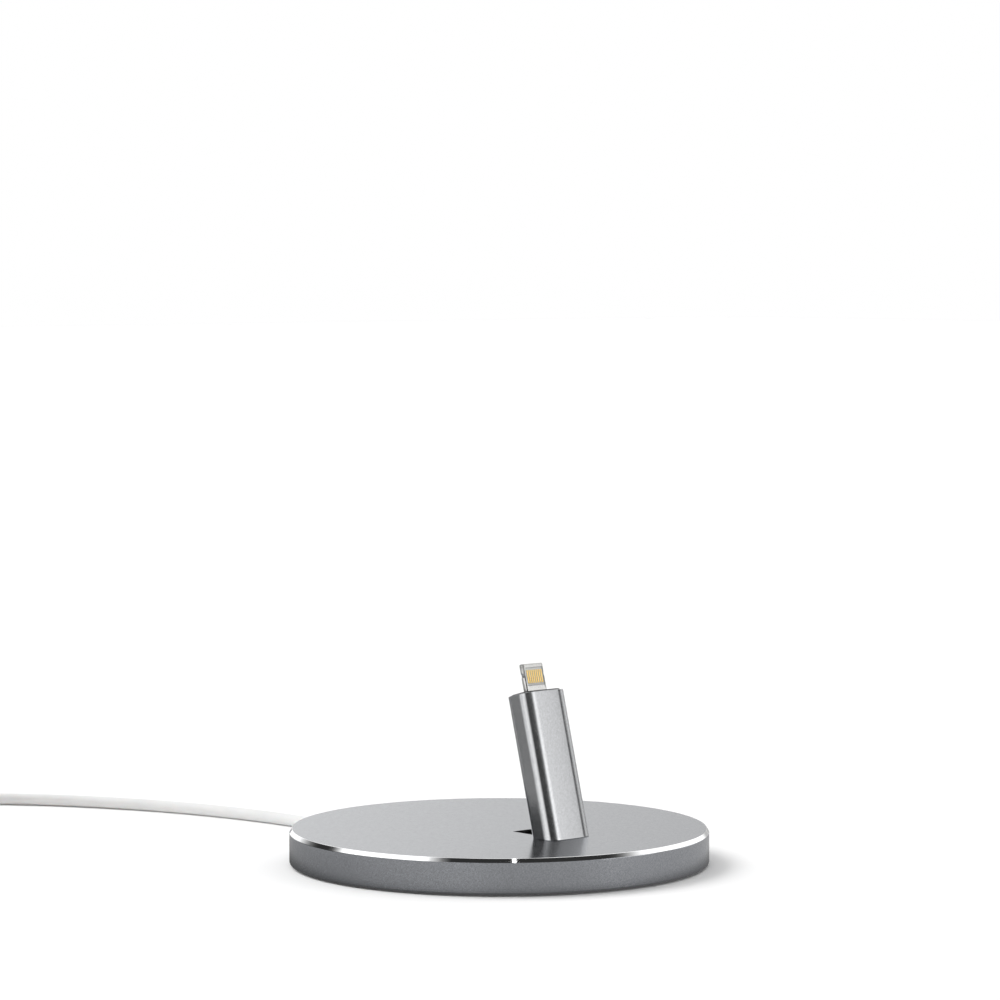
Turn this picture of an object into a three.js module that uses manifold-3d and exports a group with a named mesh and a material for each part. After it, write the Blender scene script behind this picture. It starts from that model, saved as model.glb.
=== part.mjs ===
// A phone stand: a round aluminium base, a leaning post that carries a phone plug, and the plug's cable.
// Millimetres, +Z up, origin at the centre of the base on the table. The phone's screen faces -Y.
import * as THREE from 'three';
import { mergeVertices } from 'three/addons/utils/BufferGeometryUtils.js';
import Module from 'manifold-3d';

const wasm = await Module();
wasm.setup();

// Driving dimensions
const fit = 0.05; // gap between pieces that are fastened together
const gap = 0.3; // gap between pieces that only lie next to each other
const past = 1; // how far a cutter runs past the face that it cuts

const baseRadius = 50;
const baseTop = 8.65;
const baseBottom = 0.5;
const chamferWide = 0.66;
const chamferHigh = 0.97;
const pocketRadius = 46;
const pocketTop = 5.4;
const slotHalf = 2.7;
const slotFront = -23.7;
const slotRear = -7.9;
const notchHalf = 1.9;
const notchTop = 4;

const lean = THREE.MathUtils.degToRad(15);
const footY = -21.9;
const postWide = 13.5;
const postDeep = 8;
const postCorner = 2.35;
const postLong = 34.3;
const socketBottom = 19.2;
const seatDepth = 1;
const channelFront = -2.2;
const channelTop = 20.5;

const matTop = 2;
const matRadius = 45.6;
const matGrooveHalf = 1.8;
const matGrooveFront = -23;
const ballastBottom = 2.3;
const ballastTop = 5.1;
const ballastRadius = 45.5;
const ballastSlotHalf = 3;
const ballastSlotFront = -24.5;

// Screws: radii, and heights from the table; clear is the radius of the hole that the shank passes
const postScrew = {
  head: 2.3,
  headBottom: 3.7,
  headTop: pocketTop - fit,
  shank: 1.2,
  shankTop: 13.4,
  clear: 1.35,
};
const postScrewX = 4.7;
const postScrewY = -21.3;
const postThread = 1.3;
const postThreadTop = 14;
const postScrewAccess = 2.7;
const ballastScrew = {
  head: 2.8,
  headBottom: 2.4,
  headTop: 4.05,
  shank: 1.4,
  shankTop: 7.3,
  clear: 1.6,
};
const ballastScrewReach = 34;
const ballastScrewAngles = [30, 150, 270];
const ballastSink = 3;
const ballastSinkTop = 4.1;
const ballastThread = 1.5;
const ballastThreadTop = 7.6;

// Rounded outlines in the post, each as width, depth and corner radius
const socketOutline = [9.8, 6.2, 1.6];
const seatOutline = [11.6, 6.8, 1.9];
const carrierOutline = [9.5, 5.9, 1.5];
const collarOutline = [11.4, 6.6, 1.8];
const plugHole = [8, 4.8, 2.2];

const plugOutline = [7.7, 4.5, 2.1];
const plugBottom = 22.5;
const plugTop = 34.5;
const collarTop = 34.6;
const tongueWide = 6.7;
const tongueDeep = 1.5;
const tongueCorner = 0.7;
const tongueTop = 41.35;
const tongueWindow = { half: 2.7, bottom: 36, top: 40.4 };
const detentRadius = 0.55;
const detentAlong = 38.6;
const contactCount = 8;
const contactPitch = 0.62;
const contactHalf = 0.19;
const contactThick = 0.08;
const contactMargin = 0.6; // from each contact's ends to the window's
const insulatorThick = 1.24;
const reliefRadii = [1.7, 1.95];

const leadRadius = 1.5;
const leadBend = 6;
const leadInnerZ = 1.8;
const leadInnerTop = 16.2;

const coilX = -67.7;
const coilY = 163.9;
const coilInner = 12;
const coilOuter = 24;
const coilTop = 6.2;
const exitTurn = 21; // centreline radius of the last turn, which lies on top of the others
const coilExit = THREE.MathUtils.degToRad(175);
const tieAngle = THREE.MathUtils.degToRad(265);
const tieWide = 3;
const tieThick = 0.6;

const supplyZ = 3.8;
const supplyReach = 26; // from where the cable leaves the coil's outermost turn to the supply plug's housing
const supplyReliefLong = 8;
const supplyReliefRadii = [1.9, 2.6];
const supplyHousing = { outline: [14.5, 7.4, 2.2], long: 18 };
const supplyShellOutline = [12, 4.5, 0.6];
const supplyMouthOutline = [11.4, 3.9, 0.3];
const supplyMouthStart = 18.6;
const supplyShellEnd = 32;
const supplyWindow = { along: [24, 26.3], reach: 3, half: 1.1, high: [1, 3] };
const supplyInsert = { along: [18.7, 31.2], half: 5.5, high: [-1.9, -0.1] };
const supplyContact = { along: [20.5, 30.4], half: 0.5, high: [-0.05, 0.1], count: 4, pitch: 2.3 };

// The free cable's route on the table, from the rear notch to the coil
const leadRoute = [
  [0, 50.3, 1.8],
  [0, 54, 1.75],
  [0, 58, 1.6],
  [0, 63, 1.5],
  [0, 70, 1.5],
  [-0.5, 82.5, 1.5],
  [-2.2, 94.9, 1.5],
  [-4.9, 107.1, 1.5],
  [-8.6, 119, 1.5],
  [-13.4, 130.5, 1.5],
  [-19.2, 141.6, 1.5],
  [-25.9, 152.1, 1.5],
  [-33.9, 161.6, 1.5],
  [-42.9, 170.9, 1.5],
];

const aluminium = { color: 0xb9bbbe, roughness: 0.42, metalness: 1 };
const steel = { color: 0x8d8f92, roughness: 0.35, metalness: 1 };
const whitePlastic = { color: 0xf1f1ef, roughness: 0.4, metalness: 0 };
const whiteCable = { color: 0xeeeeec, roughness: 0.5, metalness: 0 };
const blackPlastic = { color: 0x1c1c1e, roughness: 0.55, metalness: 0 };
const silicone = { color: 0x2a2b2d, roughness: 0.8, metalness: 0 };
const gold = { color: 0xd8b25c, roughness: 0.25, metalness: 1 };

// Shapes
function welded(geometry) {
  const bare = geometry.clone();
  bare.deleteAttribute('normal');
  bare.deleteAttribute('uv');
  const merged = mergeVertices(bare, 1e-4);
  const corners = merged.index.array;
  const kept = [];
  for (let i = 0; i < corners.length; i += 3) {
    const [a, b, c] = [corners[i], corners[i + 1], corners[i + 2]];
    if (a !== b && b !== c && c !== a) {
      kept.push(a, b, c);
    }
  }
  merged.setIndex(kept);
  return merged;
}

function solid(geometry) {
  const closed = welded(geometry);
  const vertProperties = new Float32Array(closed.attributes.position.array);
  const triVerts = new Uint32Array(closed.index.array);
  return new wasm.Manifold(new wasm.Mesh({ numProp: 3, vertProperties, triVerts }));
}

function cut(blank, ...cutters) {
  const left = cutters.reduce((body, cutter) => body.subtract(solid(cutter)), solid(blank));
  const { vertProperties, triVerts } = left.getMesh();
  const geometry = new THREE.BufferGeometry();
  geometry.setAttribute('position', new THREE.BufferAttribute(new Float32Array(vertProperties), 3));
  geometry.setIndex(new THREE.BufferAttribute(new Uint32Array(triVerts), 1));
  geometry.computeVertexNormals();
  return geometry;
}

function block([x0, x1], [y0, y1], [z0, z1]) {
  const geometry = new THREE.BoxGeometry(x1 - x0, y1 - y0, z1 - z0);
  return geometry.translate((x0 + x1) / 2, (y0 + y1) / 2, (z0 + z1) / 2);
}

function rod(radius, z0, z1, x = 0, y = 0, sides = 24) {
  const geometry = new THREE.CylinderGeometry(radius, radius, z1 - z0, sides);
  return geometry.rotateX(Math.PI / 2).translate(x, y, (z0 + z1) / 2);
}

function turned(profile, sides) {
  const points = profile.map(([radius, z]) => new THREE.Vector2(radius, z));
  return new THREE.LatheGeometry(points, sides).rotateX(Math.PI / 2);
}

function roundedBar(wide, deep, corner, z0, z1) {
  const [right, back] = [wide / 2 - corner, deep / 2 - corner];
  const outline = new THREE.Shape();
  outline.absarc(right, back, corner, 0, Math.PI / 2);
  outline.absarc(-right, back, corner, Math.PI / 2, Math.PI);
  outline.absarc(-right, -back, corner, Math.PI, 1.5 * Math.PI);
  outline.absarc(right, -back, corner, 1.5 * Math.PI, 2 * Math.PI);
  const settings = { depth: z1 - z0, bevelEnabled: false, curveSegments: 8 };
  return new THREE.ExtrudeGeometry(outline, settings).translate(0, 0, z0);
}

function cable(points, steps) {
  const section = new THREE.Shape();
  const sides = 8;
  for (let i = 0; i < sides; i += 1) {
    const angle = (2 * Math.PI * (i + 0.5)) / sides;
    const corner = [leadRadius * Math.cos(angle), leadRadius * Math.sin(angle)];
    if (i === 0) {
      section.moveTo(...corner);
    } else {
      section.lineTo(...corner);
    }
  }
  section.closePath();
  const extrudePath = new THREE.CatmullRomCurve3(points, false, 'centripetal');
  return new THREE.ExtrudeGeometry(section, { steps, extrudePath, bevelEnabled: false });
}

const stand = new THREE.Group();
const postGroup = new THREE.Group();
postGroup.position.set(0, footY, baseTop);
postGroup.rotation.x = -lean;
stand.add(postGroup);
const supplyGroup = new THREE.Group();
const exitPoint = new THREE.Vector3(
  coilX + exitTurn * Math.cos(coilExit),
  coilY + exitTurn * Math.sin(coilExit),
  supplyZ,
);
const exitHeading = new THREE.Vector3(-Math.sin(coilExit), Math.cos(coilExit), 0);
supplyGroup.position.copy(exitPoint).addScaledVector(exitHeading, supplyReach);
supplyGroup.rotation.z = coilExit + Math.PI / 2;
stand.add(supplyGroup);

function addPiece(group, name, geometry, finish) {
  const mesh = new THREE.Mesh(geometry, new THREE.MeshStandardMaterial(finish));
  mesh.name = name;
  group.add(mesh);
}

// Base
const postScrewPlaces = [-postScrewX, postScrewX].map((x) => [x, postScrewY]);

function screwPlaces() {
  return ballastScrewAngles.map((degrees) => {
    const angle = THREE.MathUtils.degToRad(degrees);
    return [ballastScrewReach * Math.cos(angle), ballastScrewReach * Math.sin(angle)];
  });
}

function baseShell() {
  const blank = turned(
    [
      [0, baseBottom],
      [baseRadius, baseBottom],
      [baseRadius, baseTop - chamferHigh],
      [baseRadius - chamferWide, baseTop],
      [0, baseTop],
    ],
    96,
  );
  const cutters = [
    rod(pocketRadius, baseBottom - past, pocketTop, 0, 0, 72),
    block([-slotHalf, slotHalf], [slotFront, slotRear], [pocketTop - past, baseTop + past]),
    block([-notchHalf, notchHalf], [pocketRadius - past, baseRadius + past], [baseBottom - past, notchTop]),
    ...postScrewPlaces.map(([x, y]) => rod(postScrew.clear, pocketTop - past, baseTop + past, x, y)),
    ...screwPlaces().map(([x, y]) => rod(ballastThread, pocketTop - past, ballastThreadTop, x, y)),
  ];
  return cut(blank, ...cutters);
}

function ballastPlate() {
  const cutters = [
    block(
      [-ballastSlotHalf, ballastSlotHalf],
      [ballastSlotFront, ballastRadius + past],
      [ballastBottom - past, ballastTop + past],
    ),
    ...postScrewPlaces.map(([x, y]) => rod(postScrewAccess, ballastBottom - past, ballastTop + past, x, y)),
    ...screwPlaces().map(([x, y]) => rod(ballastScrew.clear, ballastBottom - past, ballastTop + past, x, y)),
    ...screwPlaces().map(([x, y]) => rod(ballastSink, ballastBottom - past, ballastSinkTop, x, y)),
  ];
  return cut(rod(ballastRadius, ballastBottom, ballastTop, 0, 0, 72), ...cutters);
}

function baseMat() {
  const across = [-matGrooveHalf, matGrooveHalf];
  const groove = block(across, [matGrooveFront, matRadius + past], [-past, matTop + past]);
  return cut(rod(matRadius, 0, matTop, 0, 0, 72), groove);
}

function screw({ head, headBottom, headTop, shank, shankTop }, x, y) {
  const tip = 0.4;
  const driveDeep = 0.9;
  const profile = [
    [0, headBottom],
    [head, headBottom],
    [head, headTop],
    [shank, headTop],
    [shank, shankTop - tip],
    [shank - tip, shankTop],
    [0, shankTop],
  ];
  const drive = rod(head / 2, headBottom - past, headBottom + driveDeep, 0, 0, 6);
  return cut(turned(profile, 24), drive).translate(x, y, 0);
}

addPiece(stand, 'base_shell', baseShell(), aluminium);
addPiece(stand, 'ballast_plate', ballastPlate(), steel);
addPiece(stand, 'base_mat', baseMat(), silicone);
postScrewPlaces.forEach(([x, y], i) => {
  addPiece(stand, `post_screw_${i + 1}`, screw(postScrew, x, y), steel);
});
screwPlaces().forEach(([x, y], i) => {
  addPiece(stand, `ballast_screw_${i + 1}`, screw(ballastScrew, x, y), steel);
});

// Post, cut in its own upright frame and then leant back and trimmed level with the base
function post() {
  const spare = postDeep / 2; // length below the foot, enough for the slanted trim
  const upright = cut(
    roundedBar(postWide, postDeep, postCorner, -spare, postLong),
    roundedBar(...socketOutline, socketBottom, postLong + past),
    roundedBar(...seatOutline, postLong - seatDepth, postLong + past),
    block([-slotHalf, slotHalf], [channelFront, postDeep / 2 + past], [-spare - past, channelTop]),
  );
  upright.rotateX(-lean).translate(0, footY, baseTop);
  const below = block([-postWide, postWide], [footY - postWide, footY + postWide], [-baseTop, baseTop + fit]);
  const holes = postScrewPlaces.map(([x, y]) => rod(postThread, baseTop - past, postThreadTop, x, y));
  return cut(upright, below, ...holes);
}

function plugCarrier() {
  return cut(
    roundedBar(...carrierOutline, socketBottom + gap, postLong - seatDepth - gap),
    roundedBar(...plugHole, socketBottom - past, postLong + past),
  );
}

function restCollar() {
  return cut(
    roundedBar(...collarOutline, postLong - seatDepth + fit, collarTop),
    roundedBar(...plugHole, postLong - 2 * seatDepth, collarTop + past),
  );
}

function plugTongue() {
  const detents = [-tongueWide / 2, tongueWide / 2].map((x) => rod(detentRadius, -past, past, x, 0, 16));
  detents.forEach((detent) => detent.rotateX(Math.PI / 2).translate(0, 0, detentAlong));
  const { half, bottom, top } = tongueWindow;
  return cut(
    roundedBar(tongueWide, tongueDeep, tongueCorner, plugTop + fit, tongueTop),
    block([-half, half], [-past, past], [bottom, top]),
    ...detents,
  );
}

function plugInsulator() {
  const { half, bottom, top } = tongueWindow;
  const deep = [-insulatorThick / 2, insulatorThick / 2];
  return block([fit - half, half - fit], deep, [bottom + fit, top - fit]);
}

function plugContact(i) {
  const x = (i - (contactCount - 1) / 2) * contactPitch;
  const along = [tongueWindow.bottom + contactMargin, tongueWindow.top - contactMargin];
  return block([x - contactHalf, x + contactHalf], [-tongueDeep / 2, contactThick - tongueDeep / 2], along);
}

function plugRelief() {
  const [narrow, wide] = reliefRadii;
  const profile = [
    [0, leadInnerTop + gap],
    [narrow, leadInnerTop + gap],
    [wide, plugBottom - gap],
    [0, plugBottom - gap],
  ];
  return welded(turned(profile, 24));
}

addPiece(stand, 'post', post(), aluminium);
addPiece(postGroup, 'plug_carrier', plugCarrier(), blackPlastic);
addPiece(postGroup, 'rest_collar', restCollar(), silicone);
addPiece(postGroup, 'plug_housing', roundedBar(...plugOutline, plugBottom, plugTop), whitePlastic);
addPiece(postGroup, 'plug_tongue', plugTongue(), steel);
addPiece(postGroup, 'plug_insulator', plugInsulator(), whitePlastic);
for (let i = 0; i < contactCount; i += 1) {
  addPiece(postGroup, `plug_contact_${i + 1}`, plugContact(i), gold);
}
addPiece(postGroup, 'plug_relief', plugRelief(), whitePlastic);

// The cable that the stand holds: down the post, round a bend, and out along the groove in the mat
function innerRoute() {
  const onAxis = (along) => [footY + along * Math.sin(lean), baseTop + along * Math.cos(lean)];
  const turn = Math.PI / 2 + lean;
  const tangent = leadBend * Math.tan(turn / 2);
  const cornerAlong = (leadInnerZ - baseTop) / Math.cos(lean);
  const bendTop = cornerAlong + tangent;
  const bendEndY = onAxis(cornerAlong)[0] + tangent;
  const route = [];
  for (let along = leadInnerTop; along > bendTop + 1; along -= 3) {
    route.push(onAxis(along));
  }
  const bendSteps = 10;
  for (let i = 0; i <= bendSteps; i += 1) {
    const angle = Math.PI - lean + (turn * i) / bendSteps;
    route.push([bendEndY + leadBend * Math.cos(angle), leadInnerZ + leadBend * (1 + Math.sin(angle))]);
  }
  for (let y = bendEndY + 6; y < baseRadius - 4; y += 8) {
    route.push([y, leadInnerZ]);
  }
  route.push([baseRadius - 0.1, leadInnerZ]);
  return route.map(([y, z]) => new THREE.Vector3(0, y, z));
}

addPiece(stand, 'lead_inner', cable(innerRoute(), 44), whiteCable);

// The free cable, its coil and the tie round it
function leadCoil() {
  const bevel = 1;
  const profile = [
    [coilInner + bevel, 0],
    [coilOuter - bevel, 0],
    [coilOuter, bevel],
    [coilOuter, coilTop - bevel],
    [coilOuter - bevel, coilTop],
    [coilInner + bevel, coilTop],
    [coilInner, coilTop - bevel],
    [coilInner, bevel],
    [coilInner + bevel, 0],
  ];
  const halfNotch = tieWide / 2 + 0.7;
  const underTieTop = 1.1;
  const underTie = block([coilInner - past, coilOuter + past], [-halfNotch, halfNotch], [-past, underTieTop]);
  return cut(turned(profile, 40), underTie.rotateZ(tieAngle)).translate(coilX, coilY, 0);
}

function coilTie() {
  const [wide, high] = [coilOuter - coilInner + 1.8, coilTop + 0.9];
  const band = cut(
    roundedBar(wide, high, 2, -tieWide / 2, tieWide / 2),
    roundedBar(wide - 2 * tieThick, high - 2 * tieThick, 0.8, -tieWide, tieWide),
  );
  band.rotateX(Math.PI / 2).translate((coilInner + coilOuter) / 2, 0, high / 2);
  return band.rotateZ(tieAngle).translate(coilX, coilY, 0);
}

const freePoints = leadRoute.map((point) => new THREE.Vector3(...point));
addPiece(stand, 'lead_free', cable(freePoints, 40), whiteCable);
addPiece(stand, 'lead_coil', leadCoil(), whiteCable);
const tailStart = Math.sqrt((coilOuter + leadRadius + gap) ** 2 - exitTurn ** 2);
const tailEnd = supplyReach - supplyReliefLong - gap;
const tailPoints = [tailStart, (tailStart + tailEnd) / 2, tailEnd].map((reach) =>
  exitPoint.clone().addScaledVector(exitHeading, reach),
);
addPiece(stand, 'lead_tail', cable(tailPoints, 3), whiteCable);
addPiece(stand, 'coil_tie', coilTie(), blackPlastic);

// The supply plug on the cable's far end; its group's +X runs from the cable to the plug's mouth
function alongX(geometry) {
  return geometry.rotateZ(Math.PI / 2).rotateY(Math.PI / 2);
}

function supplyShell() {
  const { along, reach, half, high } = supplyWindow;
  return cut(
    alongX(roundedBar(...supplyShellOutline, supplyHousing.long + fit, supplyShellEnd)),
    alongX(roundedBar(...supplyMouthOutline, supplyMouthStart, supplyShellEnd + past)),
    ...[-reach, reach].map((y) => block(along, [y - half, y + half], high)),
  );
}

function supplyTongue() {
  const { along, half, high } = supplyInsert;
  return block(along, [-half, half], high);
}

function supplyContactStrip(i) {
  const { along, half, high, count, pitch } = supplyContact;
  const y = (i - (count - 1) / 2) * pitch;
  return block(along, [y - half, y + half], high);
}

function supplyRelief() {
  const [narrow, wide] = supplyReliefRadii;
  const profile = [
    [0, -supplyReliefLong],
    [narrow, -supplyReliefLong],
    [wide, -gap],
    [0, -gap],
  ];
  return welded(turned(profile, 24).rotateY(Math.PI / 2));
}

addPiece(supplyGroup, 'supply_relief', supplyRelief(), whitePlastic);
const housingBar = alongX(roundedBar(...supplyHousing.outline, 0, supplyHousing.long));
addPiece(supplyGroup, 'supply_housing', housingBar, whitePlastic);
addPiece(supplyGroup, 'supply_shell', supplyShell(), steel);
addPiece(supplyGroup, 'supply_insert', supplyTongue(), whitePlastic);
for (let i = 0; i < supplyContact.count; i += 1) {
  addPiece(supplyGroup, `supply_contact_${i + 1}`, supplyContactStrip(i), gold);
}

export default stand;
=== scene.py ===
"""The phone stand's looks: aluminium base and leaning post, phone plug, and cable with its supply plug."""
import math

import bmesh
import bpy
from mathutils import Matrix, Vector


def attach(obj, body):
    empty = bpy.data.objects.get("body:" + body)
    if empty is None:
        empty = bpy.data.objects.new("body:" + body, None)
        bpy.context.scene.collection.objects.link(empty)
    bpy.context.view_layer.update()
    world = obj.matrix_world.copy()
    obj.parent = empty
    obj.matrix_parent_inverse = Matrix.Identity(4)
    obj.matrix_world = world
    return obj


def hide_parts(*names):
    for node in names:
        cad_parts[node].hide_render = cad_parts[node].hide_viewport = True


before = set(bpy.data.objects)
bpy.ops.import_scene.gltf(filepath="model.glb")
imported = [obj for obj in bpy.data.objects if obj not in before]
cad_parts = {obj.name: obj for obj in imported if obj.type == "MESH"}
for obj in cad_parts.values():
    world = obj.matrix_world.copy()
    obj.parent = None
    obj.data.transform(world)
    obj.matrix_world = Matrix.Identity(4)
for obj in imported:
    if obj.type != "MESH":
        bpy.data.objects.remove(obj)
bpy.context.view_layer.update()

MM = 0.001
BODY = "root"

CAMERA_LENS = 140.03
CAMERA_SENSOR = 36
CAMERA_PLACE = (-0.6074, -0.6918, 0.1439)
CAMERA_TILT = math.radians(86.443)
CAMERA_TURN = math.radians(-41.294)

# Sizes of the stand, in millimetres. A bar or a hole for one is given as its width, depth and corner radius.
BASE_RADIUS = 50
BASE_TOP = 8.65
BASE_BOTTOM = 0.5
CHAMFER_WIDE = 0.66
CHAMFER_HIGH = 0.97
CHAMFER_RIM = 0.05
POCKET_RADIUS = 46
POCKET_TOP = 5.4
SLOT_HALF = 2.7
SLOT_FRONT = -23.7
SLOT_REAR = -7.9
NOTCH_HALF = 1.9
NOTCH_TOP = 4

MAT_RADIUS = 45.6
MAT_TOP = 2
MAT_GROOVE_HALF = 1.8
MAT_GROOVE_FRONT = -23
MAT_RING_RADII = range(42, 5, -4)
MAT_RING_PROFILE = [(0.5, 0), (0.25, 0.25), (-0.25, 0.25), (-0.5, 0)]

BALLAST_RADIUS = 45.5
BALLAST_BOTTOM = 2.3
BALLAST_TOP = 5.1
BALLAST_SLOT_HALF = 3
BALLAST_SLOT_FRONT = -24.5
BALLAST_SINK_RADIUS = 3
BALLAST_SINK_TOP = 4.1
BALLAST_EDGE = 0.15

# Each kind of screw, with its head's lowest and highest point, the hole that it or its head passes through in
# the ballast plate, and the places where it stands
POST_SCREW = {"head": 2.3, "low": 3.7, "high": 5.35, "shank": 1.2, "top": 13.4}
POST_SCREW_PASSAGE = 2.7
POST_SCREWS = [(-4.7, -21.3), (4.7, -21.3)]
BALLAST_SCREW = {"head": 2.8, "low": 2.4, "high": 4.05, "shank": 1.4, "top": 7.3}
BALLAST_SCREW_PASSAGE = 1.6
BALLAST_SCREW_RING = 34
BALLAST_SCREW_ANGLES = [math.radians(degrees) for degrees in (30, 150, 270)]
BALLAST_SCREWS = [
    (BALLAST_SCREW_RING * math.cos(angle), BALLAST_SCREW_RING * math.sin(angle))
    for angle in BALLAST_SCREW_ANGLES
]
THREAD_PITCH = 0.5
THREAD_ROOT = 0.86

LEAN = math.radians(15)
FOOT_Y = -21.9
POST_WIDE = 13.5
POST_DEEP = 8
POST_CORNER = 2.35
POST_CROWN = math.radians(3)
POST_SHOULDER = math.radians(22)
POST_SHOULDER_RADIUS = 6
POST_LONG = 34.3
POST_EDGE = 0.15
POST_THREAD_RADIUS = 1.3
POST_THREAD_TOP = 14
SOCKET = (9.8, 6.2, 1.6)
SOCKET_BOTTOM = 19.2
SOCKET_EDGE = 0.1
SEAT = (11.6, 6.8, 1.9)
SEAT_DEPTH = 1
CHANNEL_FRONT = -2.2
CHANNEL_TOP = 20.5
FIT = 0.05

# What the post holds, as heights along the post from its foot
CARRIER = (9.5, 5.9, 1.5)
CARRIER_BOTTOM = SOCKET_BOTTOM + 0.3
CARRIER_TOP = 33
COLLAR = (11.4, 6.6, 1.8)
COLLAR_BOTTOM = 33.35
COLLAR_TOP = 34.6
PLUG_HOLE = (8, 4.8, 2.2)
PLUG = (7.7, 4.5, 2.1)
PLUG_BOTTOM = 22.5
PLUG_TOP = 34.5
PLUG_RELIEF_RADII = (1.7, 1.95)
PLUG_RELIEF_BOTTOM = 16.5
TONGUE = (6.7, 1.5, 0.7)
TONGUE_TOP = 41.35
WINDOW_HALF = 2.7
WINDOW_BOTTOM = 36
WINDOW_TOP = 40.4
WINDOW_MIDDLE = 38.2
DETENT_RADIUS = 0.55
DETENT_X = 3.35
DETENT_HEIGHT = 38.6
INSULATOR_HALF_DEPTH = 0.62
CONTACT = (0.38, 3.2, 0.16)
CONTACT_COUNT = 8
CONTACT_PITCH = 0.62
CONTACT_LEVELS = (0.67, 0.75)

LEAD_RADIUS = 1.5
LEAD_BEND = 6
LEAD_INNER_Z = 1.8
LEAD_INNER_TOP = 16.2
INNER_POST_STEP = 3
INNER_BEND_STEPS = 10
INNER_GROOVE_START = 6
INNER_GROOVE_STEP = 8
INNER_GROOVE_MARGIN = 4
RELIEF_RIBS = 6
RELIEF_GAP = 0.3

# The coil's turns, as radii in the order that they are wound: the first few on the table, the others on top
COIL_TURNS = [22.5, 19.5, 16.5, 13.5, 15, 18, 21]
COIL_LOWER = 4
COIL_STEPS = 40
COIL_CENTRE = (-67.7, 163.9)
COIL_EXIT = math.radians(175)
COIL_ENTRY = math.radians(45)
LOWER_Z = LEAD_RADIUS
UPPER_Z = LEAD_RADIUS + 2.6
# The parts of a turn in which the cable steps across and climbs, and the hump where it crosses another
COIL_SHIFT = 60 / 360
COIL_CLIMB = 35 / 360
COIL_HUMP = 0.45

TIE_ANGLE = math.radians(265)
TIE_WIDE = 3
TIE_THICK = 0.6
TIE_EDGE = 0.12
TIE_LIFT = 0.65
TIE_LIFT_SPREAD = 0.35
TIE_OVERLAP_STEPS = 16

# The tail and the supply plug. The reach is from the coil to the plug's housing, and lengths along the plug
# start where the cable enters its housing.
SUPPLY_Z = 3.8
SUPPLY_REACH = 26
SUPPLY_RELIEF_LONG = 8
TAIL_REACHES = (3, 7, 11, 15)
TAIL_RISE = 12
SUPPLY_RELIEF_RADII = (1.9, 2.6)
SUPPLY_HOUSING = (14.5, 7.4, 2.2)
SUPPLY_HOUSING_LONG = 18
SUPPLY_SHELL = (12, 4.5, 0.6)
SUPPLY_SHELL_END = 32
SUPPLY_MOUTH = (11.4, 3.9, 0.3)
SUPPLY_MOUTH_FLOOR = 18.6
SUPPLY_WINDOW_X = 3
SUPPLY_WINDOW_HALF = 1.1
SUPPLY_WINDOW = (24, 26.3)
SUPPLY_INSERT_HALF = 5.5
SUPPLY_INSERT_LEVELS = (-1.9, -0.1)
SUPPLY_INSERT = (18.7, 31.2)
SUPPLY_CONTACT_COUNT = 4
SUPPLY_CONTACT_PITCH = 2.3
SUPPLY_CONTACT_HALF = 0.5
SUPPLY_CONTACT_LEVELS = (-0.05, 0.1)
SUPPLY_CONTACT = (20.5, 30.4)

# The sides of round shapes, and the steps of an arc
ROD_SIDES = 48
DISC_SIDES = 144
RELIEF_SIDES = 40
DETENT_SIDES = 24
ARC_STEPS = 8

# The free cable's route on the table, in metres, from the rear notch to the coil
LEAD_ROUTE = [
    (0, 0.0503, 0.0018),
    (0, 0.054, 0.00175),
    (0, 0.058, 0.0016),
    (0, 0.063, 0.0015),
    (0, 0.070, 0.0015),
    (-0.0005, 0.0825, 0.0015),
    (-0.0022, 0.0949, 0.0015),
    (-0.0049, 0.1071, 0.0015),
    (-0.0086, 0.1190, 0.0015),
    (-0.0134, 0.1305, 0.0015),
    (-0.0192, 0.1416, 0.0015),
    (-0.0259, 0.1521, 0.0015),
    (-0.0339, 0.1616, 0.0015),
    (-0.0429, 0.1709, 0.0015),
]

POST_PLACE = Matrix.Translation((0, FOOT_Y * MM, BASE_TOP * MM)) @ Matrix.Rotation(-LEAN, 4, "X")
# From the stand's millimetres to the post's own, in which it is upright
UPRIGHT = Matrix.Rotation(LEAN, 4, "X") @ Matrix.Translation((0, -FOOT_Y, -BASE_TOP))


# Camera
def make_camera():
    data = bpy.data.cameras.new("camera")
    data.lens = CAMERA_LENS
    data.sensor_width = CAMERA_SENSOR
    camera = bpy.data.objects.new("camera", data)
    camera.location = CAMERA_PLACE
    camera.rotation_euler = (CAMERA_TILT, 0, CAMERA_TURN)
    bpy.context.scene.collection.objects.link(camera)
    bpy.context.scene.camera = camera


# Cable
def smooth_step(t):
    t = min(max(t, 0), 1)
    return t * t * (3 - 2 * t)


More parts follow.
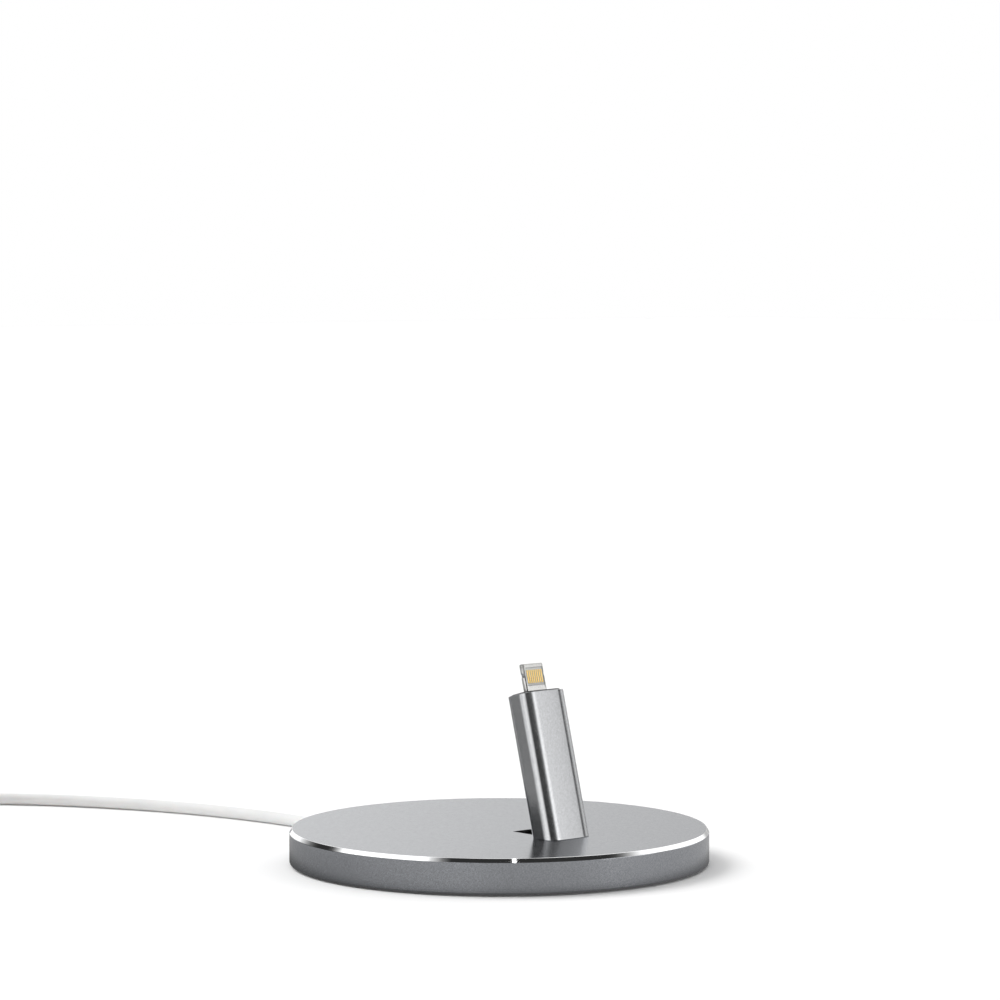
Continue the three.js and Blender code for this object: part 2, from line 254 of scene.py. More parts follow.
def coil_points():
    """Turns wound inwards on the table and back outwards on top, all stepping across in the same stretch."""
    upper_part = ((COIL_EXIT - COIL_ENTRY) / (2 * math.pi)) % 1
    last = len(COIL_TURNS) - 1 + upper_part
    points = []
    for i in range(int(last * COIL_STEPS) + 1):
        at = i / COIL_STEPS
        turn = int(at)
        part = at - turn
        following = COIL_TURNS[min(turn + 1, len(COIL_TURNS) - 1)]
        across = smooth_step((part - 1 + COIL_SHIFT) / COIL_SHIFT)
        radius = COIL_TURNS[turn] + (following - COIL_TURNS[turn]) * across
        z = LOWER_Z if turn < COIL_LOWER else UPPER_Z
        if turn == COIL_LOWER - 1:
            z += (UPPER_Z - LOWER_Z) * smooth_step((part - 1 + COIL_SHIFT + COIL_CLIMB) / COIL_CLIMB)
        if turn >= COIL_LOWER - 1:
            z += COIL_HUMP * math.sin(math.pi * across)
        angle = COIL_ENTRY + 2 * math.pi * at
        off_tie = math.remainder(angle - TIE_ANGLE, 2 * math.pi)
        z += TIE_LIFT * math.exp(-((off_tie / TIE_LIFT_SPREAD) ** 2))
        x = COIL_CENTRE[0] + radius * math.cos(angle)
        y = COIL_CENTRE[1] + radius * math.sin(angle)
        points.append(Vector((x, y, z)) * MM)
    return points


def exit_frame():
    """Where the cable leaves the coil's last turn, and the way that it heads."""
    out = Vector((math.cos(COIL_EXIT), math.sin(COIL_EXIT), 0))
    heading = Vector((-math.sin(COIL_EXIT), math.cos(COIL_EXIT), 0))
    start = Vector((*COIL_CENTRE, SUPPLY_Z)) + out * COIL_TURNS[-1]
    return start, heading


def tail_points():
    """Straight on from the coil, rising to the middle of the supply plug."""
    start, heading = exit_frame()
    long = SUPPLY_REACH - SUPPLY_RELIEF_LONG
    points = []
    for reach in (*TAIL_REACHES, long + 0.5):
        z = UPPER_Z + (SUPPLY_Z - UPPER_Z) * smooth_step(reach / TAIL_RISE)
        point = start + heading * reach
        points.append(Vector((point.x, point.y, z)) * MM)
    return points


def inner_points():
    """Down the post, round the bend and along the groove in the mat, inside the stand."""
    turn = math.pi / 2 + LEAN
    tangent = LEAD_BEND * math.tan(turn / 2)
    corner = (LEAD_INNER_Z - BASE_TOP) / math.cos(LEAN)
    end_y = FOOT_Y + corner * math.sin(LEAN) + tangent
    points = []
    along = LEAD_INNER_TOP
    while along > corner + tangent + 1:
        points.append((FOOT_Y + along * math.sin(LEAN), BASE_TOP + along * math.cos(LEAN)))
        along -= INNER_POST_STEP
    for i in range(INNER_BEND_STEPS + 1):
        angle = math.pi - LEAN + turn * i / INNER_BEND_STEPS
        points.append((end_y + LEAD_BEND * math.cos(angle), LEAD_INNER_Z + LEAD_BEND * (1 + math.sin(angle))))
    y = end_y + INNER_GROOVE_START
    while y < BASE_RADIUS - INNER_GROOVE_MARGIN:
        points.append((y, LEAD_INNER_Z))
        y += INNER_GROOVE_STEP
    points.append((LEAD_ROUTE[0][1] / MM, LEAD_INNER_Z))
    return [Vector((0, y, z)) * MM for y, z in points]


def tube(name, points, material):
    """A curve of one open spline with a round section."""
    data = bpy.data.curves.new(name, "CURVE")
    data.dimensions = "3D"
    data.bevel_depth = LEAD_RADIUS * MM
    data.bevel_resolution = 5
    data.use_fill_caps = True
    spline = data.splines.new("BEZIER")
    spline.resolution_u = 3
    spline.bezier_points.add(len(points) - 1)
    for knot, point in zip(spline.bezier_points, points):
        knot.co = point
        knot.handle_left_type = knot.handle_right_type = "AUTO"
    data.materials.append(material)
    piece = bpy.data.objects.new(name, data)
    bpy.context.scene.collection.objects.link(piece)
    return piece


# Materials
class Look:
    """A principled material and the few nodes that its surface detail needs."""

    def __init__(self, name, rough, metal=0.0):
        self.material = bpy.data.materials.new(name)
        self.material.use_nodes = True
        self.tree = self.material.node_tree
        self.shader = self.tree.nodes["Principled BSDF"]
        self.shader.inputs["Roughness"].default_value = rough
        self.shader.inputs["Metallic"].default_value = metal
        self.place = self.tree.nodes.new("ShaderNodeTexCoord").outputs["Object"]
        self.normal = None

    def node(self, kind, **values):
        made = self.tree.nodes.new(kind)
        for key, value in values.items():
            if hasattr(made, key):
                setattr(made, key, value)
            else:
                made.inputs[key.replace("_", " ").title()].default_value = value
        return made

    def link(self, output, socket):
        self.tree.links.new(output, socket)

    def noise(self, scale, detail=3.0, stretch=None):
        made = self.node("ShaderNodeTexNoise", scale=scale, detail=detail)
        place = self.place
        if stretch:
            mapping = self.node("ShaderNodeMapping")
            mapping.inputs["Scale"].default_value = stretch
            self.link(place, mapping.inputs["Vector"])
            place = mapping.outputs["Vector"]
        self.link(place, made.inputs["Vector"])
        return made.outputs["Fac"]

    def ramp(self, value, low, high, start=0.3, end=0.7):
        """Turns a pattern into a colour, or with plain numbers into a range of values."""
        if isinstance(low, tuple):
            made = self.node("ShaderNodeValToRGB")
            made.color_ramp.elements[0].position = start
            made.color_ramp.elements[1].position = end
            made.color_ramp.elements[0].color = (*low, 1)
            made.color_ramp.elements[1].color = (*high, 1)
            self.link(value, made.inputs["Fac"])
            return made.outputs["Color"]
        made = self.node("ShaderNodeMapRange")
        made.inputs["From Min"].default_value = start
        made.inputs["From Max"].default_value = end
        made.inputs["To Min"].default_value = low
        made.inputs["To Max"].default_value = high
        self.link(value, made.inputs["Value"])
        return made.outputs["Result"]

    def colour(self, value, low, high, start=0.3, end=0.7):
        self.link(self.ramp(value, low, high, start, end), self.shader.inputs["Base Color"])

    def roughness(self, value, low, high, start=0.3, end=0.7):
        self.link(self.ramp(value, low, high, start, end), self.shader.inputs["Roughness"])

    def bump(self, value, depth, strength=1.0):
        made = self.node("ShaderNodeBump")
        made.inputs["Distance"].default_value = depth
        made.inputs["Strength"].default_value = strength
        self.link(value, made.inputs["Height"])
        if self.normal:
            self.link(self.normal, made.inputs["Normal"])
        self.normal = made.outputs["Normal"]
        self.link(self.normal, self.shader.inputs["Normal"])


def blasted_aluminium(name, tint, grain):
    """Fine bead-blasted and anodised; the tint is the part of the light that it reflects."""
    look = Look(name, 0.2, 1.0)
    darker, lighter = [tuple(part * (1 + side * grain) for part in tint) for side in (-1, 1)]
    look.colour(look.noise(2700, 2), darker, lighter, 0.36, 0.64)
    look.roughness(look.noise(900, 4), 0.18, 0.22)
    look.bump(look.noise(6500, 1), 0.000008, 0.3)
    return look.material


def cut_aluminium():
    look = Look("cut_aluminium", 0.08, 1.0)
    look.colour(look.noise(300, 2), (0.86, 0.865, 0.875), (0.91, 0.915, 0.92))
    look.roughness(look.noise(2400, 2, (1, 1, 6)), 0.03, 0.06)
    look.bump(look.noise(700, 2, (1, 1, 30)), 0.000002, 0.2)
    return look.material


def machined_aluminium():
    """Turned on a lathe, which leaves fine rings round the upright axis."""
    look = Look("machined_aluminium", 0.35, 1.0)
    wave = look.node("ShaderNodeTexWave", wave_type="RINGS", rings_direction="Z", scale=800, distortion=0.6)
    look.link(look.place, wave.inputs["Vector"])
    look.colour(look.noise(400, 3), (0.43, 0.435, 0.44), (0.49, 0.495, 0.5))
    look.roughness(wave.outputs["Fac"], 0.28, 0.4, 0.0, 1.0)
    look.bump(wave.outputs["Fac"], 0.000006, 0.5)
    return look.material


def slot_painted_shade():
    """The slot's walls: aluminium in a near-black colour that is painted shade for the slot's dark inside,
    and rough from the cutter.
    """
    look = Look("slot_painted_shade", 0.5, 1.0)
    # The near-black colour is painted shade on the slot's walls.
    look.colour(look.noise(400, 3), (0.05, 0.051, 0.053), (0.08, 0.081, 0.083))
    look.roughness(look.noise(1500, 3, (1, 1, 8)), 0.42, 0.58)
    look.bump(look.noise(3000, 2, (1, 1, 10)), 0.00002, 0.4)
    return look.material


def zinc_steel():
    look = Look("zinc_steel", 0.35, 1.0)
    look.colour(look.noise(500, 4), (0.42, 0.42, 0.43), (0.55, 0.55, 0.55))
    look.roughness(look.noise(1800, 3), 0.28, 0.46)
    look.bump(look.noise(2600, 3), 0.00002, 0.3)
    return look.material


def nickel_plate():
    look = Look("nickel_plate", 0.25, 1.0)
    look.colour(look.noise(900, 3), (0.62, 0.615, 0.6), (0.67, 0.665, 0.65))
    look.roughness(look.noise(2200, 3, (1, 6, 1)), 0.22, 0.3)
    look.bump(look.noise(4200, 2, (1, 8, 1)), 0.000006, 0.25)
    return look.material


def gold_plate():
    look = Look("gold_plate", 0.2, 1.0)
    look.colour(look.noise(1500, 2), (0.78, 0.55, 0.2), (0.88, 0.65, 0.28))
    look.roughness(look.noise(4000, 2), 0.14, 0.26)
    return look.material


def white_plastic():
    look = Look("white_plastic", 0.3)
    look.colour(look.noise(200, 3), (0.74, 0.74, 0.735), (0.78, 0.78, 0.775))
    look.roughness(look.noise(1600, 3), 0.24, 0.36)
    look.bump(look.noise(1800, 2), 0.000006, 0.25)
    return look.material


def cable_jacket():
    look = Look("cable_jacket", 0.45)
    look.shader.inputs["Subsurface Weight"].default_value = 0.05
    look.colour(look.noise(160, 3), (0.77, 0.77, 0.765), (0.81, 0.81, 0.805))
    look.roughness(look.noise(1200, 3), 0.38, 0.5)
    look.bump(look.noise(1500, 3), 0.00002, 0.3)
    return look.material


def black_plastic():
    look = Look("black_plastic", 0.5)
    look.colour(look.noise(400, 3), (0.012, 0.012, 0.013), (0.02, 0.02, 0.022))
    look.roughness(look.noise(1800, 3), 0.42, 0.58)
    look.bump(look.noise(3500, 2), 0.00003, 0.5)
    return look.material


def silicone():
    look = Look("silicone", 0.7)
    look.colour(look.noise(120, 4), (0.018, 0.018, 0.02), (0.03, 0.03, 0.032))
    look.roughness(look.noise(900, 3), 0.6, 0.82)
    look.bump(look.noise(2600, 3), 0.00003, 0.5)
    return look.material


def woven_strap():
    """Looped pile over a plain weave, whose threads run along and across the strap."""
    look = Look("woven_strap", 0.85)
    threads = []
    for direction in ("X", "Y"):
        wave = look.node("ShaderNodeTexWave", bands_direction=direction, scale=900, distortion=1.5)
        look.link(look.place, wave.inputs["Vector"])
        threads.append(wave.outputs["Fac"])
    weave = look.node("ShaderNodeMath", operation="MULTIPLY")
    for thread, socket in zip(threads, weave.inputs):
        look.link(thread, socket)
    look.colour(weave.outputs["Value"], (0.01, 0.01, 0.011), (0.05, 0.05, 0.053), 0.1, 0.8)
    look.roughness(look.noise(1500, 2), 0.75, 0.95)
    look.bump(weave.outputs["Value"], 0.00012, 0.8)
    look.bump(look.noise(5000, 2), 0.00005, 0.5)
    return look.material


# Mesh pieces
def finish_piece(node, mesh, materials, place=None, sharp=28):
    """Makes a piece of the mesh in place of a CAD node, with flat faces that shade flat."""
    if place:
        mesh.transform(place)
    mesh.name = f"{node}_looks"
    for material in materials:
        mesh.materials.append(material)
    mesh.shade_smooth()
    mesh.set_sharp_from_angle(angle=math.radians(sharp))
    piece = bpy.data.objects.new(mesh.name, mesh)
    bpy.context.scene.collection.objects.link(piece)
    normals = piece.modifiers.new("flat_faces_stay_flat", "WEIGHTED_NORMAL")
    normals.keep_sharp = True
    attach(piece, BODY)
    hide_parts(node)
    return piece


def scaled_mesh(bm):
    """The mesh of a bmesh drawn in millimetres."""
    bmesh.ops.recalc_face_normals(bm, faces=bm.faces)
    mesh = bpy.data.meshes.new("piece")
    bm.to_mesh(mesh)
    bm.free()
    mesh.transform(Matrix.Scale(MM, 4))
    return mesh


def loft(rings, closed_profile=False):
    """Skins rings of equal length; open profiles are capped at both ends."""
    bm = bmesh.new()
    made = [[bm.verts.new(point) for point in ring] for ring in rings]
    pairs = list(zip(made, made[1:]))
    if closed_profile:
        pairs.append((made[-1], made[0]))
    for low, high in pairs:
        for i in range(len(low)):
            j = (i + 1) % len(low)
            bm.faces.new((low[i], low[j], high[j], high[i]))
    if not closed_profile:
        bm.faces.new(list(reversed(made[0])))
        bm.faces.new(made[-1])
    return bm


def circle(radius, z, sides=192):
    angles = [2 * math.pi * i / sides for i in range(sides)]
    return [Vector((radius * math.cos(a), radius * math.sin(a), z)) for a in angles]


def bar_ring(wide, deep, corner, z, sides=10):
    """A rectangle with round corners of so many sides each."""
    points = []
    for quarter in range(4):
        middle = math.pi / 4 + quarter * math.pi / 2
        x = math.copysign(wide / 2 - corner, math.cos(middle))
        y = math.copysign(deep / 2 - corner, math.sin(middle))
        for i in range(sides + 1):
            angle = (quarter + i / sides) * math.pi / 2
            points.append(Vector((x + corner * math.cos(angle), y + corner * math.sin(angle), z)))
    return points


def edge_profile(z0, z1, bevel, steps=3):
    """(inset, z) pairs of a wall whose two ends are rounded over."""
    low = []
    for i in range(steps + 1):
        angle = math.pi / 2 * i / steps
        low.append((bevel * (1 - math.sin(angle)), z0 + bevel * (1 - math.cos(angle))))
    high = [(inset, z0 + z1 - z) for inset, z in reversed(low)]
    return low + high


def bar(wide, deep, corner, z0, z1, bevel=0.0):
    profile = edge_profile(z0, z1, bevel) if bevel else [(0, z0), (0, z1)]
    rings = []
    for inset, z in profile:
        rings.append(bar_ring(wide - 2 * inset, deep - 2 * inset, max(corner - inset, 0.05), z))
    return loft(rings)


def sleeve(wide, deep, corner, hole, z0, z1, bevel):
    """A bar with a through hole: hole is its (wide, deep, corner)."""
    outer = edge_profile(z0, z1, bevel)
    rings = [bar_ring(wide - 2 * i, deep - 2 * i, max(corner - i, 0.05), z) for i, z in outer]
    for inset, z in reversed(edge_profile(z0, z1, bevel * 0.6)):
        rings.append(bar_ring(hole[0] + 2 * inset, hole[1] + 2 * inset, hole[2] + inset, z))
    return loft(rings, closed_profile=True)


def block(x, y, z):
    """A box between three pairs of limits."""
    bm = bmesh.new()
    bmesh.ops.create_cube(bm, size=1)
    for vert in bm.verts:
        vert.co = Vector([a + (b - a) * (c + 0.5) for (a, b), c in zip((x, y, z), vert.co)])
    return bm


def rod(radius, z0, z1, x=0.0, y=0.0, sides=ROD_SIDES):
    bm = loft([circle(radius, z0, sides), circle(radius, z1, sides)])
    bmesh.ops.translate(bm, verts=bm.verts, vec=(x, y, 0))
    return bm


def carved(blank, cutters):
    """The blank less each cutter, as a plain mesh."""
    piece = bpy.data.objects.new("blank", scaled_mesh(blank))
    bpy.context.scene.collection.objects.link(piece)
    spent = [piece]
    for cutter in cutters:
        tool = bpy.data.objects.new("cutter", scaled_mesh(cutter))
        bpy.context.scene.collection.objects.link(tool)
        spent.append(tool)
        modifier = piece.modifiers.new("cut", "BOOLEAN")
        modifier.operation = "DIFFERENCE"
        modifier.solver = "EXACT"
        modifier.object = tool
    bpy.context.view_layer.update()
    result = bpy.data.meshes.new_from_object(piece.evaluated_get(bpy.context.evaluated_depsgraph_get()))
    for obj in spent:
        bpy.data.objects.remove(obj)
    return result


def softened(mesh, width, angle=30, above=-100):
    """Rounds every edge sharper than the angle, and above a height, by a small width."""
    bm = bmesh.new()
    bm.from_mesh(mesh)
    high = [edge for edge in bm.edges if edge.is_manifold and min(v.co.z for v in edge.verts) > above * MM]
    sharp = [edge for edge in high if edge.calc_face_angle(0) > math.radians(angle)]
    bmesh.ops.bevel(bm, geom=sharp, offset=width * MM, segments=2, affect="EDGES", clamp_overlap=True)
    bm.to_mesh(mesh)
    bm.free()
    return mesh


def paint(mesh, index, test):
    """Gives a material index to the faces whose centre and normal pass the test (millimetres)."""
    for face in mesh.polygons:
        if test(face.center / MM, face.normal):
            face.material_index = index


# Base
def make_base(looks):
    """The shell, with its bright chamfer, the pocket underneath, the slot and the notch for the cable."""
    slant = CHAMFER_WIDE / CHAMFER_HIGH
    rim = CHAMFER_RIM
    rings = [
        circle(BASE_RADIUS - 0.35, BASE_BOTTOM),
        circle(BASE_RADIUS - 0.1, BASE_BOTTOM + 0.1),
        circle(BASE_RADIUS, BASE_BOTTOM + 0.35),
        circle(BASE_RADIUS, BASE_TOP - CHAMFER_HIGH - rim),
        circle(BASE_RADIUS - rim * slant, BASE_TOP - CHAMFER_HIGH + rim),
        circle(BASE_RADIUS - CHAMFER_WIDE + rim * slant, BASE_TOP - rim),
        circle(BASE_RADIUS - CHAMFER_WIDE - rim, BASE_TOP),
    ]
    cutters = [
        rod(POCKET_RADIUS, BASE_BOTTOM - 1, POCKET_TOP, sides=DISC_SIDES),
        block((-SLOT_HALF, SLOT_HALF), (SLOT_FRONT, SLOT_REAR), (POCKET_TOP - 1, BASE_TOP + 1)),
        block((-NOTCH_HALF, NOTCH_HALF), (POCKET_RADIUS - 1, BASE_RADIUS + 1), (BASE_BOTTOM - 1, NOTCH_TOP)),
    ]
    mesh = carved(loft(rings), cutters)

    def on_chamfer(centre, normal):
        return centre.z > BASE_TOP - CHAMFER_HIGH and 0.3 < normal.z < 0.97

    def underneath(centre, normal):
        return Vector((centre.x, centre.y)).length < POCKET_RADIUS + 0.1 and centre.z < BASE_TOP - 0.01

    # Faces of the slot's walls, which get the near-black painted shade.
    def in_slot_painted_shade(centre, normal):
        return underneath(centre, normal) and centre.z > POCKET_TOP + 0.01

    # The last look, on the slot's walls, is near-black painted shade.
    materials = [looks[name] for name in ("base_blasted", "cut", "machined", "slot")]
    finish_piece("base_shell", mesh, materials, sharp=9)
    for index, test in enumerate((on_chamfer, underneath, in_slot_painted_shade)):
        paint(mesh, index + 1, test)


def make_ballast(looks):
    through = (BALLAST_BOTTOM - 1, BALLAST_TOP + 1)
    slot = block((-BALLAST_SLOT_HALF, BALLAST_SLOT_HALF), (BALLAST_SLOT_FRONT, BALLAST_RADIUS + 1), through)
    cutters = [slot]
    for x, y in POST_SCREWS:
        cutters.append(rod(POST_SCREW_PASSAGE, *through, x, y))
    for x, y in BALLAST_SCREWS:
        cutters.append(rod(BALLAST_SCREW_PASSAGE, *through, x, y))
        cutters.append(rod(BALLAST_SINK_RADIUS, BALLAST_BOTTOM - 1, BALLAST_SINK_TOP, x, y))
    plate = rod(BALLAST_RADIUS, BALLAST_BOTTOM, BALLAST_TOP, sides=DISC_SIDES)
    mesh = softened(carved(plate, cutters), BALLAST_EDGE)
    finish_piece("ballast_plate", mesh, [looks["zinc"]])


def make_screw(node, looks, place, head, low, high, shank, top):
    """A pan-headed screw, pointing up, with a hexagonal socket and a rolled thread."""
    root = shank * THREAD_ROOT
    outline = [(head - 0.25, low), (head - 0.07, low + 0.07), (head, low + 0.25)]
    outline += [(head, high - 0.05), (head - 0.05, high), (root, high)]
    z = high + 0.3
    while z < top - 0.7:
        outline += [(root, z), (shank, z + 0.2), (shank, z + 0.28)]
        z += THREAD_PITCH
    outline += [(root, z), (shank * 0.6, top)]
    rings = [circle(radius, height, ROD_SIDES) for radius, height in outline]
    mesh = carved(loft(rings), [rod(head / 2, low - 1, low + 0.9, sides=6)])
    finish_piece(node, mesh, [looks["zinc"]], Matrix.Translation((place[0] * MM, place[1] * MM, 0)))


def make_screws(looks):
    for i, place in enumerate(POST_SCREWS):
        make_screw(f"post_screw_{i + 1}", looks, place, **POST_SCREW)
    for i, place in enumerate(BALLAST_SCREWS):
        make_screw(f"ballast_screw_{i + 1}", looks, place, **BALLAST_SCREW)


def make_mat(looks):
    """A moulded mat with fine rings pressed into its underside."""
    rings = [circle(MAT_RADIUS - 0.3, MAT_TOP), circle(MAT_RADIUS, MAT_TOP - 0.3)]
    rings += [circle(MAT_RADIUS, 0.35), circle(MAT_RADIUS - 0.12, 0.1), circle(MAT_RADIUS - 0.35, 0)]
    for radius in MAT_RING_RADII:
        for offset, z in MAT_RING_PROFILE:
            rings.append(circle(radius + offset, z))
    groove = block((-MAT_GROOVE_HALF, MAT_GROOVE_HALF), (MAT_GROOVE_FRONT, MAT_RADIUS + 1), (-1, MAT_TOP + 1))
    finish_piece("base_mat", carved(loft(rings), [groove]), [looks["silicone"]])


# Post
def post_ring(inset, z, slope=0.0):
    """The post's outline: tight corners that run through wider shoulders into slightly crowned faces."""
    corner = POST_CORNER - inset
    shoulder = POST_SHOULDER_RADIUS - inset
    corner_x = POST_WIDE / 2 - POST_CORNER
    shoulder_x = corner_x - (shoulder - corner) * math.sin(POST_SHOULDER)
    face = shoulder + shoulder_x / math.sin(POST_CROWN)
    face_y = POST_DEEP / 2 - inset - face
    shoulder_y = face_y + (face - shoulder) * math.cos(POST_CROWN)
    corner_y = shoulder_y + (shoulder - corner) * math.cos(POST_SHOULDER)
    arcs = [(corner_x, corner_y, corner), (shoulder_x, shoulder_y, shoulder), (0, face_y, face)]
    arcs += [(-x, y, radius) for x, y, radius in reversed(arcs[:2])]
    turns = [0, math.pi / 2 - POST_SHOULDER, math.pi / 2 - POST_CROWN]
    turns += [math.pi - turn for turn in reversed(turns)]
    half = []
    for (x, y, radius), start, end in zip(arcs, turns, turns[1:]):
        for i in range(ARC_STEPS):
            angle = start + (end - start) * i / ARC_STEPS
            half.append(Vector((x + radius * math.cos(angle), y + radius * math.sin(angle), 0)))
    half.append(Vector((-POST_WIDE / 2 + inset, corner_y, 0)))
    ring = half + [-point for point in half]
    return [Vector((point.x, point.y, z + slope * point.y)) for point in ring]


def make_post(looks):
    """The leaning post, cut level at its foot, with the plug's socket and the cable's channel in its back."""
    foot = [(0.05, FIT), (0, FIT + 0.05)]
    rings = [post_ring(inset, height / math.cos(LEAN), math.tan(LEAN)) for inset, height in foot]
    profile = edge_profile(0, POST_LONG, POST_EDGE)
    rings += [post_ring(inset, z) for inset, z in profile[len(profile) // 2:]]
    socket = bar(*SOCKET, SOCKET_BOTTOM, POST_LONG + 1)
    seat = bar(*SEAT, POST_LONG - SEAT_DEPTH, POST_LONG + 1)
    channel = block((-SLOT_HALF, SLOT_HALF), (CHANNEL_FRONT, POST_DEEP / 2 + 1), (-5, CHANNEL_TOP))
    holes = [rod(POST_THREAD_RADIUS, BASE_TOP - 1, POST_THREAD_TOP, x, y) for x, y in POST_SCREWS]
    for hole in holes:
        bmesh.ops.transform(hole, verts=hole.verts, matrix=UPRIGHT)
    mesh = carved(loft(rings), [socket, seat, channel, *holes])
    mesh = softened(mesh, SOCKET_EDGE, angle=50, above=SOCKET_BOTTOM)
    finish_piece("post", mesh, [looks["post_blasted"]], POST_PLACE)


def make_carrier(looks):
    """The moulded insert in the post's pocket and the soft ring over it."""
    carrier = scaled_mesh(sleeve(*CARRIER, PLUG_HOLE, CARRIER_BOTTOM, CARRIER_TOP, bevel=0.2))
    finish_piece("plug_carrier", carrier, [looks["black"]], POST_PLACE)
    collar = scaled_mesh(sleeve(*COLLAR, PLUG_HOLE, COLLAR_BOTTOM, COLLAR_TOP, bevel=0.25))
    finish_piece("rest_collar", collar, [looks["silicone"]], POST_PLACE)


def tongue_cutters():
    """The window for the contacts, and a detent in each narrow side."""
    cutters = [block((-WINDOW_HALF, WINDOW_HALF), (-1, 1), (WINDOW_BOTTOM, WINDOW_TOP))]
    across = Matrix.Rotation(math.pi / 2, 3, "X")
    for x in (-DETENT_X, DETENT_X):
        detent = rod(DETENT_RADIUS, -1, 1, sides=DETENT_SIDES)
        bmesh.ops.rotate(detent, verts=detent.verts, cent=(0, 0, 0), matrix=across)
        bmesh.ops.translate(detent, verts=detent.verts, vec=(x, 0, DETENT_HEIGHT))
        cutters.append(detent)
    return cutters


def make_phone_plug(looks):
    """The housing in the carrier and the metal tongue that stands out of it, with its contacts."""
    housing = scaled_mesh(bar(*PLUG, PLUG_BOTTOM, PLUG_TOP, bevel=0.25))
    finish_piece("plug_housing", housing, [looks["white"]], POST_PLACE)
    tongue = carved(bar(*TONGUE, PLUG_TOP + FIT, TONGUE_TOP, bevel=0.3), tongue_cutters())
    finish_piece("plug_tongue", tongue, [looks["nickel"]], POST_PLACE)
    wide = (FIT - WINDOW_HALF, WINDOW_HALF - FIT)
    deep = (-INSULATOR_HALF_DEPTH, INSULATOR_HALF_DEPTH)
    high = (WINDOW_BOTTOM + FIT, WINDOW_TOP - FIT)
    insulator = softened(scaled_mesh(block(wide, deep, high)), width=0.06)
    finish_piece("plug_insulator", insulator, [looks["white"]], POST_PLACE)
    facing = Matrix.Rotation(math.pi / 2, 4, "X")
    for i in range(CONTACT_COUNT):
        x = (i - (CONTACT_COUNT - 1) / 2) * CONTACT_PITCH
        contact = scaled_mesh(bar(*CONTACT, *CONTACT_LEVELS, bevel=0.02))
        contact.transform(Matrix.Translation((x * MM, 0, WINDOW_MIDDLE * MM)) @ facing)
        finish_piece(f"plug_contact_{i + 1}", contact, [looks["gold"]], POST_PLACE)


def ribbed_relief(radii, z0, z1, groove):
    """A tapered strain relief with rounded ribs."""
    pitch = (z1 - z0) / (RELIEF_RIBS + 0.5)
    outline = [(radii[0] - 0.08, z0), (radii[0], z0 + 0.15)]
    for i in range(RELIEF_RIBS):
        z = z0 + pitch * (i + 0.5)
        swell = radii[0] + (radii[1] - radii[0]) * (i + 0.5) / RELIEF_RIBS
        outline += [(swell, z), (swell - groove, z + pitch * 0.25)]
        outline += [(swell - groove, z + pitch * 0.4), (swell, z + pitch * 0.6)]
    outline.append((radii[1], z1))
    return scaled_mesh(loft([circle(radius, z, RELIEF_SIDES) for radius, z in outline]))


def make_phone_relief(looks):
    relief = ribbed_relief(PLUG_RELIEF_RADII, PLUG_RELIEF_BOTTOM, PLUG_BOTTOM - RELIEF_GAP, groove=0.12)
    finish_piece("plug_relief", relief, [looks["white"]], POST_PLACE)


# Supply plug, built along +Z and laid down on its heading
def supply_place():
    start, heading = exit_frame()
    place = start + heading * SUPPLY_REACH
    lying = Matrix.Rotation(math.atan2(heading.y, heading.x), 4, "Z") @ Matrix.Rotation(math.pi / 2, 4, "Y")
    across = Matrix.Rotation(math.pi / 2, 4, "Z")
    return Matrix.Translation(place * MM) @ lying @ across


def supply_shell_mesh():
    """The open metal shell, with two windows for its springs in the upper side."""
    cutters = [bar(*SUPPLY_MOUTH, SUPPLY_MOUTH_FLOOR, SUPPLY_SHELL_END + 1)]
    for x in (-SUPPLY_WINDOW_X, SUPPLY_WINDOW_X):
        cutters.append(block((x - SUPPLY_WINDOW_HALF, x + SUPPLY_WINDOW_HALF), (1, 3), SUPPLY_WINDOW))
    return carved(bar(*SUPPLY_SHELL, SUPPLY_HOUSING_LONG + FIT, SUPPLY_SHELL_END, bevel=0.08), cutters)


def make_supply(looks):
    """The plug on the cable's far end, as the list of its pieces."""
    place = supply_place()
    relief = ribbed_relief(SUPPLY_RELIEF_RADII, -SUPPLY_RELIEF_LONG, -RELIEF_GAP, groove=0.16)
    housing = scaled_mesh(bar(*SUPPLY_HOUSING, 0, SUPPLY_HOUSING_LONG, bevel=0.6))
    insert_wide = (-SUPPLY_INSERT_HALF, SUPPLY_INSERT_HALF)
    insert = softened(scaled_mesh(block(insert_wide, SUPPLY_INSERT_LEVELS, SUPPLY_INSERT)), width=0.15)
    pieces = [
        finish_piece("supply_relief", relief, [looks["white"]], place),
        finish_piece("supply_housing", housing, [looks["white"]], place),
        finish_piece("supply_shell", supply_shell_mesh(), [looks["nickel"]], place),
        finish_piece("supply_insert", insert, [looks["white"]], place),
    ]
    for i in range(SUPPLY_CONTACT_COUNT):
        x = (i - (SUPPLY_CONTACT_COUNT - 1) / 2) * SUPPLY_CONTACT_PITCH
        wide = (x - SUPPLY_CONTACT_HALF, x + SUPPLY_CONTACT_HALF)
        strip = softened(scaled_mesh(block(wide, SUPPLY_CONTACT_LEVELS, SUPPLY_CONTACT)), width=0.04)
        pieces.append(finish_piece(f"supply_contact_{i + 1}", strip, [looks["gold"]], place))
    return pieces


# Tie
def tie_outline():
    """Round the coil's turns in its section, out and up: pairs of a turn's centre and the way out from it."""
    upper = [(COIL_TURNS[5], UPPER_Z), (COIL_TURNS[4], UPPER_Z)]
    lower = [(COIL_TURNS[3], LOWER_Z), (COIL_TURNS[0], LOWER_Z)]
    corners = [Vector((out, up + TIE_LIFT)) for out, up in upper + lower]
    outline = []
    for i, corner in enumerate(corners):
        before = corner - corners[i - 1]
        after = corners[(i + 1) % len(corners)] - corner
        start = math.atan2(-before.x, before.y)
        turn = (math.atan2(-after.x, after.y) - start) % (2 * math.pi)
        for step in range(ARC_STEPS + 1):
            angle = start + turn * step / ARC_STEPS
            outline.append((corner, Vector((math.cos(angle), math.sin(angle)))))
    return outline


